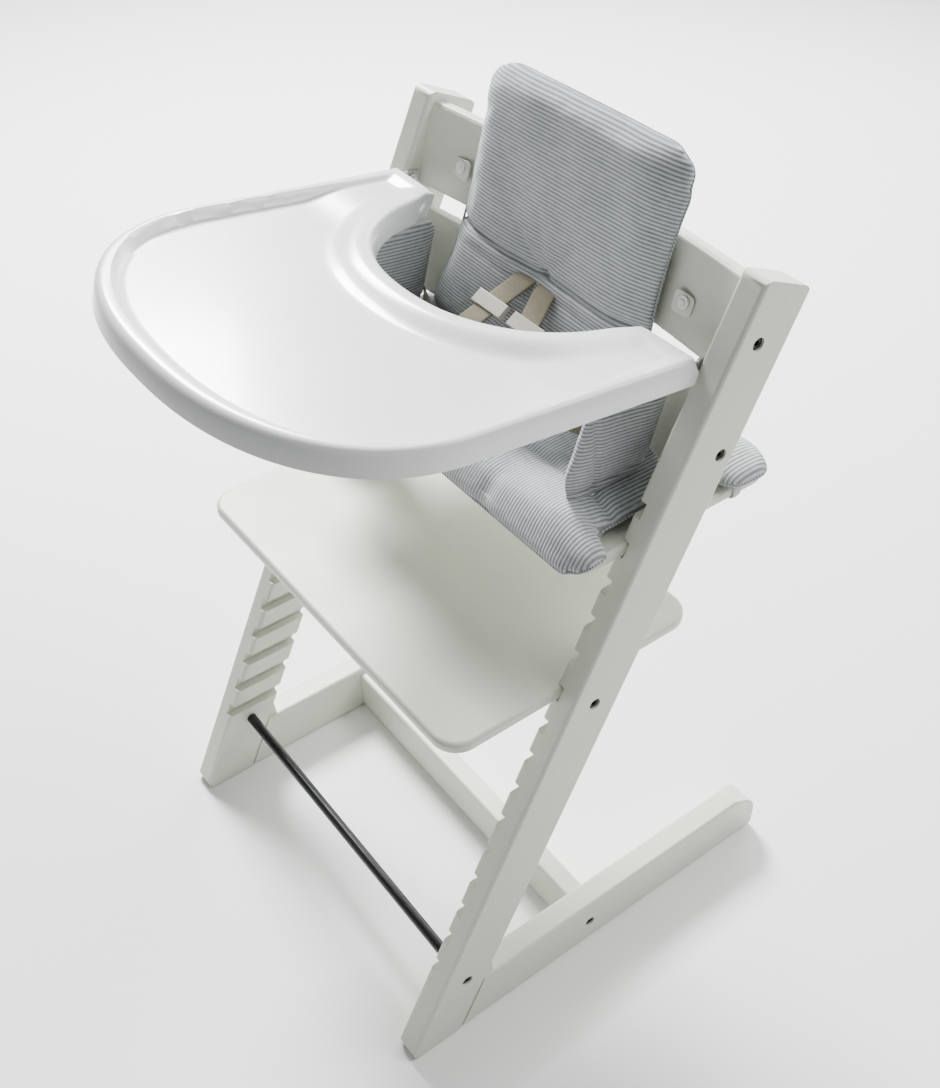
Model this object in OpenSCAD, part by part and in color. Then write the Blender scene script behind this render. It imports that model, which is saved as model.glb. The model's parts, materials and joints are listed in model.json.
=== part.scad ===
// Wooden high chair for a baby: two leaning side frames, height grooves, a seat plate and
// a footplate, curved backrests, a clip-on plastic tray, a padded cushion and a harness.
// Units are millimetres. The chair faces -Y, +Z is up, and it stands on z = 0.

/* [Side frames] */
// Overall width across the two side frames
frame_w = 460; // [450:1:470]
// Height of the side frames
frame_h = 788; // [780:1:796]
// Thickness of each side frame
side_t = 27; // [26:0.5:29]
// Width of an upright, measured square to its length
upright_w = 60; // [58:0.5:62]
// Angle of the uprights from the floor, in degrees
lean = 65.5; // [65:0.1:66]
// Length of the feet along the floor, from the front tips
foot_len = 494; // [485:1:505]
// Height of a foot
foot_h = 66; // [64:0.5:68]
// Radius of the long edges of the wooden bars
edge_r = 4; // [3:0.5:5]
// Radius of the top rear corner of a foot
heel_r = 40; // [30:1:45]

/* [Grooves and plates] */
// Thickness of the seat plate and the footplate
plate_t = 13; // [12:0.5:13.5]
// Depth of the grooves in the uprights
groove_d = 9; // [8.5:0.5:10]
// Distance from one groove to the next
groove_pitch = 34.5; // [34.4:0.1:34.6]
// Height of the lowest groove
groove_z = 110; // [109.5:0.5:110.5]
// Number of grooves in each upright
groove_n = 15; // [14:1:15]
// Front to back length of the seat plate
seat_len = 234; // [228:1:238]
// Front to back length of the footplate
footplate_len = 286; // [276:1:290]

/* [Rails] */
// Diameter of the two steel rods
rod_d = 12; // [11:0.5:12]
// Thickness of the backrest boards
board_t = 18; // [17:0.5:18.5]
// Height of each backrest board
board_h = 80; // [76:1:80]
// How far the backrest boards bow backwards in the middle
board_bow = 20; // [18:1:24]
// Angle of the backrest from upright, in degrees
back_lean = 15.5; // [15.5:0.1:15.8]

/* [Tray] */
// Half of the width of the tray
tray_half = 211; // [208:1:211]
// Depth of the tray's body from rim to lower edge
tray_h = 21; // [20:0.5:22]
// Thickness of the tray's walls
tray_wall = 3; // [2.5:0.5:3]
// Upward tilt of the tray towards the front, in degrees
tray_tilt = 6.8; // [6.6:0.1:7]

/* [Soft goods] */
// Thickness of the back cushion
back_pad_t = 18; // [16:1:18]
// Height of the top of the back cushion above the floor
back_pad_top = 845; // [835:1:850]
// Thickness of the seat cushion
seat_pad_t = 20; // [18:1:21]
// Width of the harness webbing
web_w = 25; // [23:1:25]
// Thickness of the harness webbing
web_t = 1.6; // [1.4:0.1:1.8]

/* [Hidden] */
$fn = 48;
eps = 0.01;
// Lengths and places along the leaning uprights
tip_slope = cos(lean) / sin(lean);
across = upright_w / sin(lean);
inner_x = frame_w / 2 - side_t;
floor_gap = 1;
tip_r = 9;
foot_top = floor_gap + foot_h;
upright_len = frame_h / sin(lean);
// Places of the screws, as [y, z]
lower_rod_at = [73.5, 85.5];
upper_rod_at = [217, 407];
lower_board_at = [335, 633];
upper_board_at = [359, 731];
brace_at = [240, 33];
frame_holes = [lower_rod_at, upper_rod_at, lower_board_at, upper_board_at, brace_at];
wood_ends = [lower_board_at, upper_board_at, brace_at];
screw_d = 6;
head_d = 11.8;
head_t = 5;
head_sink = 7;
screw_reach = 22;
insert_d = 8;
insert_len = 14;
fit = 0.2;
// Plates
plate_half = inner_x + groove_d - 0.5;
footplate_z = groove_z + 9 * groove_pitch;
seat_z = groove_z + 13 * groove_pitch;
seat_top = seat_z + plate_t / 2;
seat_y0 = 198;
seat_travel = 20;
footplate_y0 = 70;
// Brace
brace_t = 24;
brace_h = 54;
dowel_d = 10;
dowel_len = 56;
dowel_zs = [23, 48];
// Glides
glide_w = 14;
glide_len = 40;
glide_t = 3.5;
// Backrest arc
board_r = (inner_x * inner_x + board_bow * board_bow) / (2 * board_bow);
board_span = 2 * asin((inner_x + 6) / board_r);
// Tray: its own frame starts at the rear lower edge of the arms
tray_at = [319, 701];
tray_len = 376;
tray_front = tray_at[0] - tray_len * cos(tray_tilt);
mid_y = (foot_len + tray_front) / 2;
tray_arc_y = -220;
tray_arm_in = 130;
tray_open_y = 130;
rim_w = 17;
sill_w = 40;
floor_z = tray_h - 9;
skin = 3;
// Tray carriers
bar_t = 3;
bar_h = 12;
bar_z = 2;
bar_front = -150;
pad_y = 4;
pad_len = 14;
pad_h = 30;
pad_z = -14;
bar_screw_zs = [-8, 10];
slot_h = 5.6;
catch_y = -40;
catch_travel = 60;
pin_d = 5;
catch_x = inner_x - bar_t - 4;
catch_w = 21.5;
catch_t = 11.5;
spring_x = catch_x - catch_w - 8.5;
// Tray runner screws, through ears on the runners
ear_w = 12;
ear_t = 4;
ear_z = 4;
boss_d = 8;
runner_top = 15.5;
runner_front = -150;
runner_rear = -12;
runner_screw_ys = [-20, -85];
runner_screw_x = inner_x - bar_t - 9;
// Back cushion, measured up its own slope from a lower datum
back_pad_y = 304.7;
back_pad_z = 566;
back_pad_half = 138;
back_pad_low_half = 150;
back_pad_low_h = 80;
back_pad_y0 = 30 / cos(back_lean);
back_pad_len = (back_pad_top - back_pad_z) / cos(back_lean);
slit_z = 688;
slit_y = (slit_z - back_pad_z) / cos(back_lean);
// Tabs at the edges of the back cushion and their studs
tab_x = 139;
tab_w = 22;
tab_h = 28;
tab_y0 = (718 - back_pad_z) / cos(back_lean);
tab_out = 5.5;
tab_t = 1.6;
// Side wings
wing_x = 158;
wing_t = 14;
wing_h = 92;
wing_y = 222;
wing_z = seat_top + seat_pad_t + 3.5;
// Seat cushion and the loops that hold it
seat_pad_half = 224;
loop_y = 380;
loop_w = 10;
loop_x = plate_half - 14;
loop_top = seat_z + plate_t / 2 + 1.5;
// Harness
buckle_at = [262, 628];
strap_x = 14;
anchor_at = [upper_board_at[0] + board_bow + 1.5, (upper_board_at[1] + lower_board_at[1]) / 2];
slit_at = [strap_x, 326, slit_z];
shoulder_low = [35, 268, 648.5];
waist_z = buckle_at[1] - 2;
crotch_low = seat_z - plate_t / 2 - 6;

// ---- Helpers ----

// Moves a piece from the front tips of the feet to the middle of the chair
module placed() { translate([0, -mid_y, 0]) children(); }

// Puts a piece on the left side, as the mirror of the right one
module left() { mirror([1, 0, 0]) children(); }

// Rectangle with round corners, from the origin
module round_rect(w, h, r) {
    translate([r, 0]) square([w - 2 * r, h]);
    translate([0, r]) square([w, h - 2 * r]);
    for (x = [r, w - r], y = [r, h - r]) translate([x, y]) circle(r);
}

// Region outside a round corner at the origin, to be cut away in the first quadrant
module corner_waste(r) {
    difference() {
        square([r + 2, r + 2]);
        circle(r);
    }
}

// Extrudes a drawing of the side view, [y, z], across the right side frame
module side_slab(x0, w) { translate([x0, 0, 0]) rotate([90, 0, 90]) linear_extrude(w) children(); }

// Turns pieces drawn upright into the lean of the uprights
module leaned() { rotate([lean - 90, 0, 0]) children(); }

// Bore along X through the right side frame, with a sunk seat for the screw's head
module frame_bore(at) {
    translate([inner_x - 1, at[0], at[1]]) rotate([0, 90, 0]) cylinder(h = side_t + 2, d = screw_d + 0.6);
    translate([frame_w / 2 - head_sink, at[0], at[1]]) rotate([0, 90, 0])
        cylinder(h = head_sink + 1, d = head_d + 0.6);
}

// Blind bores for a threaded insert and a screw in both ends of a wooden rail
module insert_bores(at) {
    for (side = [-1, 1]) translate([side * inner_x, at[0], at[1]]) rotate([0, -90 * side, 0]) {
        translate([0, 0, -1]) cylinder(h = insert_len + 1, d = insert_d + fit);
        cylinder(h = screw_reach + 2, d = screw_d + 0.6);
    }
}

// ---- Wooden frame ----

module upright() {
    difference() {
        leaned() translate([inner_x, 0, -40]) linear_extrude(upright_len + 40)
            round_rect(side_t, upright_w, edge_r);
        translate([0, -100, -100 + floor_gap]) cube([300, 300, 100]);
        // Round corners of the top end
        leaned() translate([inner_x - 1, 0, upright_len]) rotate([90, 0, 90]) linear_extrude(side_t + 2) {
            translate([upright_w - 10, -10]) corner_waste(10);
            translate([8, -8]) mirror([1, 0]) corner_waste(8);
        }
        // Round front tip on the floor
        side_slab(inner_x - 1, side_t + 2) tip_waste();
        // Height grooves across the inner face
        for (i = [0 : groove_n - 1])
            translate([inner_x - 1, -50, groove_z + i * groove_pitch - plate_t / 2 - 0.4])
                cube([groove_d + 1, 500, plate_t + 0.8]);
        for (at = [lower_rod_at, upper_rod_at, lower_board_at, upper_board_at]) frame_bore(at);
        for (z = dowel_zs) dowel_bore(z);
        glide_pocket(14);
        tray_bar_bores();
    }
}

// Region outside the round front tip of a side frame
module tip_waste() {
    t = tip_r / tan(lean / 2);
    difference() {
        polygon([[-10, floor_gap - 5], [t, floor_gap - 5], [t, floor_gap + tip_r],
                 [t * cos(lean) - 5 * sin(lean), floor_gap + t * sin(lean) + 5 * cos(lean)]]);
        translate([t, floor_gap + tip_r]) circle(tip_r);
    }
}

// Bore for a dowel across the joint of an upright and its foot
module dowel_bore(z) {
    seam_y = z * tip_slope + across;
    translate([inner_x + side_t / 2, seam_y - 24, z]) rotate([-90, 0, 0])
        cylinder(h = dowel_len + 2, d = dowel_d + fit);
}

module glide_shape() { translate([-glide_w / 2, 0]) round_rect(glide_w, glide_len, glide_w / 2 - eps); }

// Pocket for a glide in the underside of a bar
module glide_pocket(y) {
    translate([inner_x + side_t / 2, y, -1]) linear_extrude(glide_t + 1) glide_pocket_shape();
}

module glide_pocket_shape() {
    w = glide_w + fit;
    translate([-w / 2, -fit / 2]) round_rect(w, glide_len + fit, w / 2 - eps);
}

module foot() {
    y_in = foot_top * tip_slope + across;
    difference() {
        union() {
            translate([inner_x, foot_len, floor_gap]) rotate([90, 0, 0]) linear_extrude(foot_len)
                round_rect(side_t, foot_h, edge_r);
            // Low fillet where the foot meets the back of the upright
            side_slab(inner_x + edge_r, side_t - 2 * edge_r)
                polygon([[y_in - 20, foot_top - 20], [y_in + 13, foot_top - 4], [y_in + 10, foot_top + 22],
                         [y_in, foot_top + 22]]);
        }
        leaned() translate([inner_x - 1, -500, -300]) cube([side_t + 2, 500 + upright_w, 1300]);
        side_slab(inner_x - 1, side_t + 2)
            translate([foot_len - heel_r, foot_top - heel_r]) corner_waste(heel_r);
        side_slab(inner_x - 1, side_t + 2)
            translate([foot_len - 5, floor_gap + 5]) mirror([0, 1]) corner_waste(5);
        frame_bore(brace_at);
        for (z = dowel_zs) dowel_bore(z);
        glide_pocket(foot_len - 20 - glide_len);
    }
}

module upright_right() { placed() color("ivory") upright(); }
module upright_left() { placed() color("ivory") left() upright(); }
module foot_right() { placed() color("ivory") foot(); }
module foot_left() { placed() color("ivory") left() foot(); }

module foot_dowels() {
    placed() color("burlywood")
        for (side = [-1, 1], z = dowel_zs)
            translate([side * (inner_x + side_t / 2), z * tip_slope + across - 23, z])
                rotate([-90, 0, 0]) cylinder(h = dowel_len, d = dowel_d);
}

module foot_glides() {
    placed() color("lightgray")
        for (side = [-1, 1], y = [14, foot_len - 20 - glide_len])
            translate([side * (inner_x + side_t / 2), y, 0]) linear_extrude(glide_t) glide_shape();
}

module cross_brace() {
    placed() color("ivory") difference() {
        translate([-inner_x, brace_at[0] - brace_t / 2, floor_gap + 5]) rotate([90, 0, 90])
            linear_extrude(2 * inner_x) round_rect(brace_t, brace_h, edge_r);
        insert_bores(brace_at);
    }
}

// ---- Steel rods, boards, screws ----

module rod(at) {
    placed() color("#303030") difference() {
        translate([-inner_x, at[0], at[1]]) rotate([0, 90, 0]) cylinder(h = 2 * inner_x, d = rod_d);
        for (side = [-1, 1]) translate([side * (inner_x + 1), at[0], at[1]]) rotate([0, -90 * side, 0])
            cylinder(h = screw_reach + 4, d = screw_d + fit);
    }
}
module lower_rod() { rod(lower_rod_at); }
module upper_rod() { rod(upper_rod_at); }

// Board bent to an arc, leaning back, between the side frames
module backrest(at) {
    placed() color("ivory") difference() {
        intersection() {
            translate([-inner_x, at[0] - 100, at[1] - 100]) cube([2 * inner_x, 200, 200]);
            translate([0, at[0] + board_bow, at[1]]) rotate([-back_lean, 0, 0])
                translate([0, -board_r, -board_h / 2]) rotate([0, 0, 90 - board_span / 2])
                    rotate_extrude(angle = board_span, $fn = 360)
                        translate([board_r - board_t / 2, 0]) round_rect(board_t, board_h, edge_r);
        }
        insert_bores(at);
    }
}
module upper_backrest() { backrest(upper_board_at); }
module lower_backrest() { backrest(lower_board_at); }

// Countersunk furniture screw along X with a hexagon socket
module frame_screw() {
    reach = side_t - head_sink + screw_reach;
    difference() {
        union() {
            cylinder(h = head_t, d = head_d);
            translate([0, 0, -reach]) cylinder(h = reach + eps, d = screw_d);
        }
        translate([0, 0, 1.8]) cylinder(h = head_t, d = 5.5, $fn = 6);
    }
}

module frame_screws() {
    placed() color("#202020")
        for (side = [-1, 1], at = frame_holes)
            translate([side * (frame_w / 2 - head_sink), at[0], at[1]]) rotate([0, 90 * side, 0]) frame_screw();
}

module threaded_inserts() {
    placed() color("silver")
        for (side = [-1, 1], at = wood_ends)
            translate([side * inner_x, at[0], at[1]]) rotate([0, -90 * side, 0]) difference() {
                cylinder(h = insert_len, d = insert_d);
                translate([0, 0, -1]) cylinder(h = insert_len + 2, d = screw_d + fit);
            }
}

// ---- Plates ----

module plate(len, r) {
    translate([-plate_half, 0, -plate_t / 2]) linear_extrude(plate_t) round_rect(2 * plate_half, len, r);
}

module footplate() { placed() color("ivory") translate([0, footplate_y0, footplate_z]) plate(footplate_len, 26); }

// Lengthwise slot for the crotch strap, long enough for the whole travel of the seat
module strap_slot(z, h) {
    translate([-web_w / 2 - 3, buckle_at[0] - seat_travel - 4, z]) cube([web_w + 6, 2 * seat_travel + 8, h]);
}

module seat_plate() {
    placed() color("ivory") difference() {
        translate([0, seat_y0, seat_z]) plate(seat_len, 24);
        strap_slot(seat_z - plate_t, 2 * plate_t);
    }
}

// ---- Tray ----

// Moves a piece drawn flat behind the arms into the tilt of the tray
module trayed() { placed() translate([0, tray_at[0], tray_at[1]]) rotate([-tray_tilt, 0, 0]) children(); }

// Half outline of a rounded front: points from the side to the middle
function bow(a, b, y0, n, p) =
    [for (i = [0 : n]) let (t = 90 * i / n) [a * pow(cos(t), 2 / p), y0 - b * pow(sin(t), 2 / p)]];
function mirrored(pts) = [for (i = [len(pts) - 1 : -1 : 0]) [-pts[i][0], pts[i][1]]];

// Outer outline of the tray, drawn smaller by d
module tray_outline(d) {
    a = tray_half - d;
    front = bow(a, tray_len + tray_arc_y - d, tray_arc_y, 24, 2.3);
    right = concat([[a - 4, -d], [a, -d - 4]], front);
    polygon(concat(right, mirrored(right)));
}

// Opening for the child, grown outwards by d all round
module tray_cutout(d) {
    edge = bow(tray_arm_in + d, tray_open_y + d, -4, 20, 2.2);
    right = concat([[tray_arm_in + d + 6, 60]], edge);
    polygon(concat(right, mirrored(right)));
}

module tray_shell() {
    // Ribs that hold the catch springs
    trayed() color("white") for (side = [-1, 1])
        translate([side * spring_x - 2, catch_y - 8, bar_z]) cube([4, 16, tray_h - skin - bar_z + 1]);
    trayed() color("white") difference() {
        linear_extrude(tray_h) difference() {
            tray_outline(0);
            tray_cutout(0);
        }
        // Play surface sunk inside the rim
        translate([0, 0, floor_z]) linear_extrude(tray_h) difference() {
            tray_outline(rim_w);
            tray_cutout(sill_w);
            translate([-300, -100]) square([600, 200]);
        }
        // Hollow underside below the play surface
        translate([0, 0, -1]) linear_extrude(floor_z - skin + 1) difference() {
            tray_outline(tray_wall);
            tray_cutout(tray_wall);
        }
        // Hollow of the rim and of the arms
        translate([0, 0, -1]) linear_extrude(tray_h - skin + 1) difference() {
            tray_outline(tray_wall);
            tray_cutout(tray_wall);
            difference() {
                tray_outline(rim_w - tray_wall);
                tray_cutout(sill_w - tray_wall);
                translate([-300, -100 + tray_wall]) square([600, 200]);
            }
        }
        // Slots in the ends of the arms for the carrier bars
        for (side = [-1, 1])
            translate([side * (inner_x - bar_t / 2) - 4, -8, -1]) cube([8, 20, bar_z + bar_h + 2]);
    }
    // Bosses for the runner screws
    trayed() color("white") for (side = [-1, 1], y = runner_screw_ys)
        translate([side * runner_screw_x, y, ear_z + ear_t]) difference() {
            cylinder(h = tray_h - skin - ear_z - ear_t + 1, d = boss_d);
            translate([0, 0, -1]) cylinder(h = 5, d = 3.1);
        }
}

// Steel carrier bar on the inner face of an upright, reaching forward inside the arm
module tray_bar() {
    x0 = inner_x - bar_t;
    z_slot = bar_z + bar_h / 2;
    difference() {
        union() {
            translate([x0, bar_front, bar_z]) cube([bar_t, pad_y - bar_front, bar_h]);
            translate([x0, pad_y, pad_z]) cube([bar_t, pad_len, pad_h]);
        }
        for (y = [catch_y, catch_y - catch_travel])
            translate([x0 - 1, y, z_slot]) rotate([0, 90, 0]) cylinder(h = bar_t + 2, d = slot_h);
        translate([x0 - 1, catch_y - catch_travel, z_slot - slot_h / 2]) cube([bar_t + 2, catch_travel, slot_h]);
        for (z = bar_screw_zs) translate([x0 - 1, pad_y + pad_len / 2, z]) rotate([0, 90, 0])
            cylinder(h = bar_t + 2, d = 4.4);
    }
}

// Pilot bores in the upright for the carrier bar's screws
module tray_bar_bores() {
    translate([0, tray_at[0], tray_at[1]]) rotate([-tray_tilt, 0, 0]) for (z = bar_screw_zs)
        translate([inner_x - 1, pad_y + pad_len / 2, z]) rotate([0, 90, 0]) cylinder(h = 15, d = 4.2);
}

module tray_bar_right() { trayed() color("silver") tray_bar(); }
module tray_bar_left() { trayed() color("silver") left() tray_bar(); }

module tray_bar_screws() {
    trayed() color("gray")
        for (side = [-1, 1], z = bar_screw_zs)
            translate([side * (inner_x - bar_t), pad_y + pad_len / 2, z]) rotate([0, 90 * side, 0]) difference() {
                union() {
                    translate([0, 0, -2]) cylinder(h = 2, d = 8);
                    translate([0, 0, -eps]) cylinder(h = 14, d = 4);
                }
                translate([0, 0, -3]) cylinder(h = 2, d = 3, $fn = 6);
            }
}

// Plastic runner that grips the carrier bar inside an arm
module tray_runner() {
    x0 = inner_x - bar_t - 0.5;
    lip = 2.5;
    run = runner_rear - runner_front;
    difference() {
        translate([x0 - lip, runner_front, 0.5]) cube([bar_t + 1 + 2 * lip, run, runner_top - 0.5]);
        translate([x0, runner_front - 1, -1]) cube([bar_t + 1, run + 2, bar_z + bar_h + 1.5]);
        translate([x0 - 3, catch_y, bar_z + bar_h / 2]) rotate([0, 90, 0])
            cylinder(h = bar_t + 8, d = pin_d + 0.4);
    }
    for (y = runner_screw_ys) difference() {
        translate([x0 - lip - ear_w, y - ear_w / 2, ear_z]) cube([ear_w + 1, ear_w, ear_t]);
        translate([runner_screw_x, y, ear_z - 1]) cylinder(h = ear_t + 2, d = 3.3);
    }
}

module tray_runner_right() { trayed() color("whitesmoke") tray_runner(); }
module tray_runner_left() { trayed() color("whitesmoke") left() tray_runner(); }

module tray_runner_screws() {
    trayed() color("silver")
        for (side = [-1, 1], y = runner_screw_ys)
            translate([side * runner_screw_x, y, ear_z - 2.2]) {
                cylinder(h = 2.2, d = 6);
                translate([0, 0, 2]) cylinder(h = ear_t + 4, d = 3);
            }
}

// Sliding catch: a finger tab with a pin that stands in the carrier bar's slot
module tray_catch() {
    zc = bar_z + bar_h / 2;
    difference() {
        translate([catch_x - catch_w, catch_y - 11, zc - 5]) cube([catch_w, 22, catch_t]);
        translate([catch_x - catch_w - 1, catch_y, zc]) rotate([0, 90, 0]) cylinder(h = 16, d = 7.4);
    }
    translate([catch_x - catch_w + 2, catch_y - 8, zc - 11]) cube([8, 16, 6.5]);
    translate([catch_x - 1, catch_y, zc]) rotate([0, 90, 0]) cylinder(h = bar_t + 5.5, d = pin_d);
}

module tray_catch_right() { trayed() color("gray") tray_catch(); }
module tray_catch_left() { trayed() color("gray") left() tray_catch(); }

module tray_catch_springs() {
    trayed() color("silver") for (side = [-1, 1])
        translate([side * (spring_x + 2), catch_y, bar_z + bar_h / 2]) rotate([0, 90 * side, 0]) difference() {
            cylinder(h = 15.5, d = 6.5);
            translate([0, 0, -1]) cylinder(h = 18, d = 5);
        }
}

// ---- Soft goods ----

// Draws in the plane of the backrest: x across, y up the slope from the pad's lower datum
module on_back() {
    placed() translate([0, back_pad_y, back_pad_z]) rotate([-back_lean, 0, 0]) rotate([90, 0, 0]) children();
}

module back_cushion() {
    on_back() color("lightgray") difference() {
        translate([0, 0, -back_pad_t / 2]) linear_extrude(back_pad_t) {
            translate([-back_pad_half, back_pad_y0])
                round_rect(2 * back_pad_half, back_pad_len - back_pad_y0, 28);
            translate([-back_pad_low_half, back_pad_y0]) round_rect(2 * back_pad_low_half, back_pad_low_h, 20);
        }
        translate([-web_w - 8, slit_y - 4, -back_pad_t]) cube([2 * web_w + 16, 8, 2 * back_pad_t]);
    }
}

module seat_cushion() {
    z0 = seat_top + 0.3;
    notch_y0 = seat_top * tip_slope - seat_travel - 4;
    notch_y1 = (z0 + seat_pad_t) * tip_slope + across + seat_travel + 4;
    placed() color("lightgray") difference() {
        translate([-seat_pad_half, seat_y0 - 8, z0]) linear_extrude(seat_pad_t)
            round_rect(2 * seat_pad_half, seat_len, 30);
        for (side = [-1, 1])
            translate([side * (inner_x + 23) - 25, notch_y0, z0 - 1])
                cube([50, notch_y1 - notch_y0, seat_pad_t + 2]);
        strap_slot(z0 - 1, seat_pad_t + 2);
        // Dents over the elastic loops
        for (side = [-1, 1]) translate([side * (loop_x + 10) - 11, loop_y - 0.5, z0 - 1])
            cube([22, loop_w + 1, loop_top - z0 + 1.2]);
    }
}

// Padded side wing between the back cushion and the front of the seat
module side_wing() {
    color("lightgray") side_slab(wing_x, wing_t) translate([wing_y, wing_z]) intersection() {
        round_rect(130, wing_h, 16);
        polygon([[0, 0], [93, 0], [118, wing_h], [28, wing_h], [0, 40]]);
    }
}

module side_wing_right() { placed() side_wing(); }
module side_wing_left() { placed() left() side_wing(); }

// Clear tab at the edge of the back cushion, lying on the front of the upper board
module cushion_tab() {
    on_back() translate([tab_x, tab_y0, -tab_out]) linear_extrude(tab_t) round_rect(tab_w, tab_h, 6);
}
module cushion_tab_right() { color("white") cushion_tab(); }
module cushion_tab_left() { color("white") left() cushion_tab(); }

module press_studs() {
    color("whitesmoke") on_back() for (side = [-1, 1])
        translate([side * (tab_x + 12), tab_y0 + 15.5, tab_t - tab_out]) {
            cylinder(h = 2, d = 12);
            cylinder(h = 3.4, d = 6);
        }
}

// Elastic loop that holds the seat cushion to the edge of the seat plate
module cushion_loop() {
    low = seat_z - plate_t / 2 - 1.8;
    difference() {
        translate([loop_x, loop_y, low]) cube([16, loop_w, loop_top - low]);
        translate([loop_x - 1, loop_y - 1, low + 1.6]) cube([15.2, loop_w + 2, plate_t + 0.4]);
    }
}
module cushion_loop_right() { placed() color("white") cushion_loop(); }
module cushion_loop_left() { placed() color("white") left() cushion_loop(); }

// ---- Harness ----

// Flat webbing from one place to the next; each place is [x, y, z] and webbing lies across X
module webbing(route, w) {
    for (i = [0 : len(route) - 2]) hull() {
        translate(route[i]) cube([w, web_t, web_t], center = true);
        translate(route[i + 1]) cube([w, web_t, web_t], center = true);
    }
}

// Steel plate behind the boards that the shoulder straps loop round
module harness_anchor() {
    placed() color("gray") translate([0, anchor_at[0], anchor_at[1]]) rotate([-back_lean, 0, 0]) difference() {
        cube([96, 3, 44], center = true);
        for (x = [-strap_x, strap_x]) translate([x, 0, 0]) cube([web_w + 1, 6, 6], center = true);
    }
}

module shoulder_strap() {
    x = strap_x;
    webbing([[x, anchor_at[0] + 6, anchor_at[1]], [x, anchor_at[0] - 10, anchor_at[1]], [x, 346, slit_z],
             slit_at, shoulder_low], web_w);
}
module shoulder_strap_right() { placed() color("tan") shoulder_strap(); }
module shoulder_strap_left() { placed() color("tan") left() shoulder_strap(); }

// Ladder slider on a shoulder strap
module strap_slider() {
    run = shoulder_low - slit_at;
    placed() translate(slit_at + run * 0.55) rotate([atan2(run[1], -run[2]), 0, 0]) difference() {
        cube([web_w + 16, 6, 14], center = true);
        cube([web_w + 9, 2.8, 16], center = true);
    }
}
module strap_slider_right() { color("gray") strap_slider(); }
module strap_slider_left() { color("gray") left() strap_slider(); }

module waist_strap() {
    hull() {
        translate([146, 304, 608]) cube([web_t, web_t, web_w], center = true);
        translate([60, 258, waist_z]) cube([web_t, web_t, web_w], center = true);
    }
    hull() {
        translate([60, 258, waist_z]) cube([web_t, web_t, web_w], center = true);
        translate([40, 258, waist_z]) cube([web_t, web_t, web_w], center = true);
    }
}
module waist_strap_right() { placed() color("tan") waist_strap(); }
module waist_strap_left() { placed() color("tan") left() waist_strap(); }

module crotch_strap() {
    placed() color("tan")
        translate([-web_w / 2, buckle_at[0] - web_t / 2, crotch_low])
            cube([web_w, web_t, buckle_at[1] - 22 - crotch_low]);
}

module crotch_strap_stop() {
    z = seat_z - plate_t / 2;
    placed() color("gray") difference() {
        translate([-24, buckle_at[0] - 9, z - 3.4]) cube([48, 18, 3]);
        translate([-web_w / 2 - 0.3, buckle_at[0] - web_t / 2 - 0.2, z - 4]) cube([web_w + 0.6, web_t + 0.4, 5]);
    }
}

module buckle_body() {
    placed() color("whitesmoke") translate([0, buckle_at[0], buckle_at[1]]) difference() {
        translate([-22, 8, -22]) rotate([90, 0, 0]) linear_extrude(16) round_rect(44, 48, 9);
        // Shaft for the release button, open to the front
        translate([0, 0, 4]) rotate([90, 0, 0]) cylinder(h = 20, d = 20.4);
        // Slots for the two tongues
        for (side = [-1, 1]) translate([side * 17 - 8, 2, -6]) cube([16, 3.2, 20]);
    }
}

module buckle_button() {
    placed() color("gray") translate([0, buckle_at[0] - 5.2, buckle_at[1] + 4]) rotate([90, 0, 0]) {
        cylinder(h = 5.4, d = 20);
    }
}

module buckle_spring() {
    placed() color("silver") translate([0, buckle_at[0] - 0.1, buckle_at[1] + 4]) rotate([90, 0, 0])
        difference() {
            cylinder(h = 1.6, d = 12);
            translate([0, 0, -1]) cylinder(h = 4, d = 9);
        }
}

module buckle_tongue() {
    y0 = buckle_at[0] + 2.4;
    difference() {
        union() {
            translate([10, y0, buckle_at[1] - 5]) cube([18, 2.4, 18]);
            translate([22.5, y0, buckle_at[1] - 8]) cube([14, 2.4, 24]);
        }
        translate([29, y0 - 1, buckle_at[1] - 4]) cube([4, 5, 16]);
    }
}
module buckle_tongue_right() { placed() color("silver") buckle_tongue(); }
module buckle_tongue_left() { placed() color("silver") left() buckle_tongue(); }

upright_left();
upright_right();
foot_left();
foot_right();
foot_dowels();
foot_glides();
cross_brace();
lower_rod();
upper_rod();
upper_backrest();
lower_backrest();
frame_screws();
threaded_inserts();
footplate();
seat_plate();
tray_shell();
tray_runner_left();
tray_runner_right();
tray_runner_screws();
tray_bar_left();
tray_bar_right();
tray_bar_screws();
tray_catch_left();
tray_catch_right();
tray_catch_springs();
back_cushion();
seat_cushion();
side_wing_left();
side_wing_right();
cushion_tab_left();
cushion_tab_right();
press_studs();
cushion_loop_left();
cushion_loop_right();
harness_anchor();
shoulder_strap_left();
shoulder_strap_right();
strap_slider_left();
strap_slider_right();
waist_strap_left();
waist_strap_right();
crotch_strap();
crotch_strap_stop();
buckle_body();
buckle_button();
buckle_spring();
buckle_tongue_left();
buckle_tongue_right();
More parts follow.
